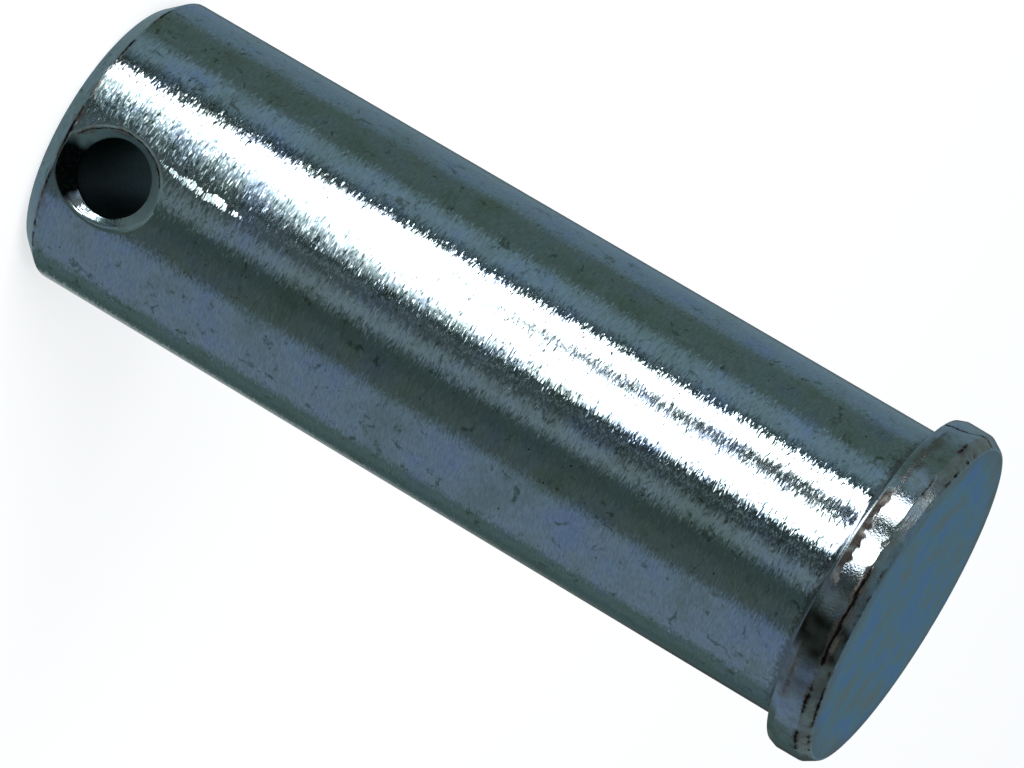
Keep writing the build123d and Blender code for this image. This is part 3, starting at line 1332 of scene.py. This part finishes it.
@dataclass
class Studio:
    """The floor, the lamp, and the surround, cards, hood and foot disc that the bright metal reflects.

    The surround's foot lies on the floor and its wall stands round the pin, with the hood's side above it.
    Only reflections show these sheets, so they block no view and light nothing matt. Their tones are linear.
    """

    camera: PhotoCamera
    pin: PinSizes
    reach: float = 280 * MM
    wall_height: float = 95 * MM
    hood_top: float = 420 * MM
    hood_edge: float = 81.0
    foot_edge: float = 90.0
    floor_radius: float = 6.0
    floor_glow: float = 0.64
    gap: float = 0.1 * MM
    blend: float = 4.5
    surround_columns: int = 240
    sheet_columns: int = 96
    glint_columns: int = 12
    rows: int = 50
    paper: str = "#cfcfcf"
    room_light: Tone = (0.42, 0.45, 0.48)
    room_mirrored: Tone = (0.15, 0.25, 0.31)
    hood_tone: Tone = (0.19, 0.23, 0.22)
    foot_tone: Tone = (0.24, 0.33, 0.36)
    lamp_shows: float = -14.0
    lamp_elevation: float = 32.0
    lamp_distance: float = 0.9
    lamp_width: float = 0.62
    lamp_height: float = 0.8
    lamp_radiance: float = 3.0
    bands: tuple[Band, ...] = (
        Band(-92, -81, (0.11, 0.15, 0.165)),
        Band(-81, -59.5, (0.20, 0.29, 0.345)),
        Band(-59.5, -40, (0.135, 0.19, 0.17)),
        Band(-40, -30, (0.27, 0.38, 0.44)),
        Band(-30, -25, (0.05, 0.08, 0.08)),
        Band(-25, 6.5, (0.13, 0.165, 0.17), (0.05, 0.067, 0.065)),
        Band(6.5, 13, (0.28, 0.35, 0.38)),
        Band(13, 22, (0.078, 0.112, 0.10)),
        Band(22, 32, (0.11, 0.145, 0.13)),
        Band(32, 60.5, (0.235, 0.31, 0.385)),
        Band(60.5, 70, (0.125, 0.183, 0.175)),
        Band(70, 79, (0.08, 0.13, 0.125)),
        Band(79, 92, (0.40, 0.46, 0.46), (0.06, 0.07, 0.07)),
    )
    cards: tuple[Card, ...] = (
        # The key is the white highlight along the shank
        Card("key", (
            (0.0, -23.4, -19.5), (8 * MM, -23.4, -18.5), (16 * MM, -24.4, -15.0), (30 * MM, -25.6, -8.0),
            (45 * MM, -26.2, -4.9), (71 * MM, -26.2, -4.0), (72 * MM, -26.6, -2.6)), LAMP_FACE),
        # The fringe lets the highlight fall off along its lower side
        Card("fringe", (
            (0.0, -19.5, -4.0), (8 * MM, -18.5, -3.0), (16 * MM, -15.0, -0.5), (30 * MM, -8.0, 0.5),
            (45 * MM, -4.9, -1.0), (71 * MM, -4.0, -1.0), (72 * MM, -2.6, -0.6)), LAMP_FACE,
            fade=(0.007, 0.0105, 0.0105)),
        # The thread is a faint light line below the highlight
        Card("thread", (
            (12 * MM, 0.6, 1.6), (45 * MM, 1.4, 2.4), (84 * MM, 1.8, 2.8)), ((0.0, 0.24, 0.30, 0.31),)),
        # The blade is the dark wedge in the highlight towards the head
        Card("blade", (
            (33 * MM, -17.2, -16.8), (48 * MM, -18.4, -15.2), (62 * MM, -19.4, -13.8),
            (71 * MM, -19.9, -12.9)), ((0.0, 0.07, 0.10, 0.10),), nearer=2.0 * MM),
    )
    # A wide grey field, and before it the two bright fields that make the rim's light spots
    glints: tuple[Glint, ...] = (
        Glint(-38.5, -20.0, 130 * MM, 370 * MM, (0.43, 0.51, 0.53)),
        Glint(-37.6, -36.2, 295 * MM, 325 * MM, (3.0, 3.1, 3.2)),
        Glint(-27.5, -25.0, 310 * MM, 335 * MM, (3.0, 3.1, 3.2)),
    )

    def build(self) -> None:
        """Builds the whole studio."""
        self.add_floor()
        self.add_surround()
        for card in self.cards:
            self.add_card(card)
        self.add_hood()
        self.add_lamp()
        self.add_world()
        bpy.context.scene.view_settings.view_transform = "Standard"

    def add_world(self) -> None:
        """Adds the room's plain light, which the head's flat face shows in a deeper blue."""
        world = bpy.data.worlds.new("studio")
        world.use_nodes = True
        tree = world.node_tree
        tree.nodes.clear()
        glossy = add_node(tree, "LightPath").outputs["Is Glossy Ray"]
        colour = add_node(tree, "Mix", COLOURS, {
            0: glossy, 6: (*self.room_light, 1.0), 7: (*self.room_mirrored, 1.0)})
        glow = add_node(tree, "Background", {}, {"Color": colour.outputs[2]})
        add_node(tree, "OutputWorld", {}, {"Surface": glow.outputs[0]})
        bpy.context.scene.world = world

    def heading(self, shows: float) -> Vector:
        """Gives the level direction that the shank reflects at an angle from the line to the camera."""
        azimuth = math.radians(self.camera.azimuth + 2 * shows)
        return Vector((math.sin(azimuth), -math.cos(azimuth), 0.0))

    def shown_at(self, turn: float, height: float, nearer: float = 0.0) -> Vector:
        """Finds the point of the surround that the shank shows.

        Args:
            turn: the angle round the shank from the line to the camera.
            height: the height on the shank.
            nearer: how far before the surround the point lies.

        Returns:
            The point, on the floor or on the wall. Over the floor a nearer sheet lies a little higher.
        """
        azimuth = math.radians(self.camera.azimuth + turn)
        start = Vector((math.sin(azimuth), -math.cos(azimuth), 0.0)) * (self.pin.shank_radius + self.gap)
        slope = math.tan(math.radians(self.camera.elevation))
        reach = self.reach - nearer
        run = min(height / slope, reach)
        rise = max(height - reach * slope, self.gap / 5 + nearer / 20)
        return start + self.heading(turn) * run + Vector((0, 0, rise))

    def add_floor(self) -> None:
        """Adds the matt paper that the pin stands on, which the camera and reflections see as white."""
        mesh = bmesh.new()
        bmesh.ops.create_grid(mesh, x_segments=40, y_segments=40, size=self.floor_radius)
        floor = self.link("floor", mesh)
        material, tree = self.blank("matt_paper")
        rays = add_node(tree, "LightPath").outputs
        mirrored = add_node(tree, "Math", {"operation": "MAXIMUM"}, {
            0: rays["Is Glossy Ray"], 1: rays["Is Transmission Ray"]}).outputs[0]
        seen = add_node(tree, "Math", {"operation": "MAXIMUM"}, {
            0: rays["Is Camera Ray"], 1: mirrored}).outputs[0]
        matt = add_node(tree, "BsdfDiffuse", {}, {"Color": linear(self.paper)}).outputs[0]
        strength = add_node(tree, "Math", {"operation": "MULTIPLY"}, {0: seen, 1: self.floor_glow}).outputs[0]
        glow = add_node(tree, "Emission", {}, {"Strength": strength}).outputs[0]
        both = add_node(tree, "AddShader", {}, {0: matt, 1: glow}).outputs[0]
        add_node(tree, "OutputMaterial", {}, {"Surface": both})
        floor.data.materials.append(material)

    def link(self, name: str, mesh: bmesh.types.BMesh) -> bpy.types.Object:
        """Turns a finished mesh into a stage object.

        Args:
            name: the object's name.
            mesh: the mesh, which is freed.

        Returns:
            The object.
        """
        data = bpy.data.meshes.new(name)
        mesh.to_mesh(data)
        mesh.free()
        piece = bpy.data.objects.new(name, data)
        bpy.context.scene.collection.objects.link(piece)
        return piece

    @staticmethod
    def blank(name: str) -> tuple[bpy.types.Material, Tree]:
        """Makes an empty material.

        Args:
            name: the material's name.

        Returns:
            The material and its node tree.
        """
        material = bpy.data.materials.new(name)
        material.use_nodes = True
        material.node_tree.nodes.clear()
        return material, material.node_tree

    def add_surround(self) -> None:
        """Adds the surround, whose bands run softly into one another."""
        knots = [(angle, *band.tail, *(band.head or band.tail)) for band in self.bands
                 for angle in (band.left + self.blend / 2, band.right - self.blend / 2)]
        left, right, count = self.bands[0].left, self.bands[-1].right, self.surround_columns
        turns = [left + (right - left) * k / count for k in range(count + 1)]
        heights = self.steps(0.0, self.reach * math.tan(math.radians(self.camera.elevation)))
        points = [[self.shown_at(turn, height) for turn in turns] for height in heights]
        tails = [[self.between(knots, turn, c) for c in (1, 2, 3)] for turn in turns]
        heads = [[self.between(knots, turn, c) for c in (4, 5, 6)] for turn in turns]
        tones = []
        for height in heights:
            share = min(1.0, height / self.pin.length)
            tones.append([tuple(t * (1 - share) + h * share for t, h in zip(tail, head))
                          for tail, head in zip(tails, heads)])
        self.add_glowing("surround", points, tones)

    def add_card(self, card: Card) -> None:
        """Adds a card before the surround.

        Args:
            card: the card's place and tones.
        """
        fold = (self.reach - card.nearer) * math.tan(math.radians(self.camera.elevation))
        count = max(4, round(2 * max(right - left for _, left, right in card.knots)))
        shares = [k / count for k in range(count + 1)]
        points, tones = [], []
        for height in self.steps(card.knots[0][0], fold):
            left, right = (self.between(card.knots, height, side) for side in (1, 2))
            points.append([self.shown_at(left + (right - left) * s, height, card.nearer) for s in shares])
            tone = [self.between(card.tones, height, c) for c in (1, 2, 3)]
            tones.append([tuple(c * f ** s for c, f in zip(tone, card.fade)) for s in shares])
        self.add_glowing("card_" + card.name, points, tones)

    def steps(self, low: float, fold: float) -> list[float]:
        """Divides the heights that the shank shows, from a card's foot to its top, with one at the fold."""
        top = fold + self.wall_height
        return sorted({fold, *(low + (top - low) * k / self.rows for k in range(self.rows + 1))})

    def add_glowing(self, name: str, points: list[list[Vector]], tones: list[list[Tone]]) -> None:
        """Adds a self-lit sheet that only reflections show.

        Args:
            name: the sheet's name.
            points: rows of points.
            tones: the linear colour at each point.
        """
        mesh = bmesh.new()
        layer = mesh.verts.layers.float_color.new("tone")
        rows = []
        for line, colours in zip(points, tones):
            row = [mesh.verts.new(point) for point in line]
            for vertex, colour in zip(row, colours):
                vertex[layer] = (*colour, 1.0)
            rows.append(row)
        for lower, upper in zip(rows[:-1], rows[1:]):
            for k in range(len(lower) - 1):
                mesh.faces.new((lower[k], lower[k + 1], upper[k + 1], upper[k]))
        piece = self.link(name, mesh)
        material, tree = self.blank(name)
        tone = add_node(tree, "Attribute", {"attribute_name": "tone"})
        glow = add_node(tree, "Emission", {}, {"Color": tone.outputs["Color"]})
        add_node(tree, "OutputMaterial", {}, {"Surface": glow.outputs[0]})
        piece.data.materials.append(material)
        piece.visible_camera = False
        piece.visible_diffuse = False
        piece.visible_shadow = False

    @staticmethod
    def between(knots: Any, place: float, part: int) -> float:
        """Reads a value off a list of knots, straight from one to the next.

        Args:
            knots: tuples that start with a place, such as a height or an angle.
            place: the place to read at.
            part: which value of each tuple is read.

        Returns:
            The value.
        """
        if place <= knots[0][0]:
            return knots[0][part]
        for lower, upper in zip(knots[:-1], knots[1:]):
            if place <= upper[0]:
                share = (place - lower[0]) / (upper[0] - lower[0])
                return lower[part] + (upper[part] - lower[part]) * share
        return knots[-1][part]

    def add_hood(self) -> None:
        """Adds the hood's side with its light fields, and the disc that the tail chamfer shows."""
        radius = self.reach + self.pin.shank_radius
        self.add_bent("hood_side", (-self.hood_edge, self.hood_edge), self.sheet_columns,
                      ((radius, self.wall_height), (radius, self.hood_top)), self.hood_tone)
        for k, glint in enumerate(self.glints):
            near = radius - (k + 1) * self.gap
            self.add_bent(f"glint_{k}", (glint.left, glint.right), self.glint_columns,
                          ((near, glint.low), (near, glint.high)), glint.tone)
        self.add_bent("foot", (-self.foot_edge, self.foot_edge), self.sheet_columns,
                      ((self.pin.shank_radius + 4 * self.gap, self.gap / 2), (0.0, self.gap / 2)),
                      self.foot_tone)

    def add_bent(self, name: str, edges: tuple[float, float], columns: int,
                 profile: tuple[tuple[float, float], ...], tone: Tone) -> None:
        """Adds a self-lit sheet of one tone, bent round the pin's axis.

        Args:
            name: the sheet's name.
            edges: its left and right edges, as angles at which the shank shows them.
            columns: how many pieces it has from edge to edge.
            profile: the (distance from the axis, height) pairs that it passes.
            tone: its tone.
        """
        left, right = edges
        ways = [self.heading(left + (right - left) * k / columns) for k in range(columns + 1)]
        points = [[way * distance + Vector((0, 0, height)) for way in ways] for distance, height in profile]
        self.add_glowing(name, points, [[tone] * len(ways)] * len(points))

    def add_lamp(self) -> None:
        """Adds the soft lamp that faces the pin. The cards carry its reflection in the metal."""
        data = bpy.data.lights.new("window", "AREA")
        data.shape = "RECTANGLE"
        data.size, data.size_y = self.lamp_width, self.lamp_height
        data.energy = self.lamp_radiance * math.pi * self.lamp_width * self.lamp_height
        lamp = bpy.data.objects.new("window", data)
        bpy.context.scene.collection.objects.link(lamp)
        rise = math.radians(self.lamp_elevation)
        way = self.heading(self.lamp_shows) * math.cos(rise) + Vector((0, 0, math.sin(rise)))
        turn = way.to_track_quat("Z", "Y").to_matrix().to_4x4()
        lamp.matrix_world = Matrix.Translation(way * self.lamp_distance) @ turn
        lamp.visible_camera = False
        lamp.visible_glossy = False


def main() -> None:
    """Builds the camera, the pin and the studio in order."""
    camera = PhotoCamera()
    camera.build()
    LOG.info("camera at azimuth %.1f, elevation %.1f", camera.azimuth, camera.elevation)
    sizes = PinSizes.from_frame(frame)
    pin = CouplingPin(sizes, camera.azimuth).build()
    LOG.info("pin: %d triangles", sum(len(face.vertices) - 2 for face in pin.data.polygons))
    studio = Studio(camera, sizes)
    studio.build()
    LOG.info("studio: floor, lamp, surround, %d cards and %d glints", len(studio.cards), len(studio.glints))
    bpy.context.view_layer.update()


if __name__ == "__main__":
    logging.basicConfig(level=logging.INFO, format="%(name)s: %(message)s")
    main()
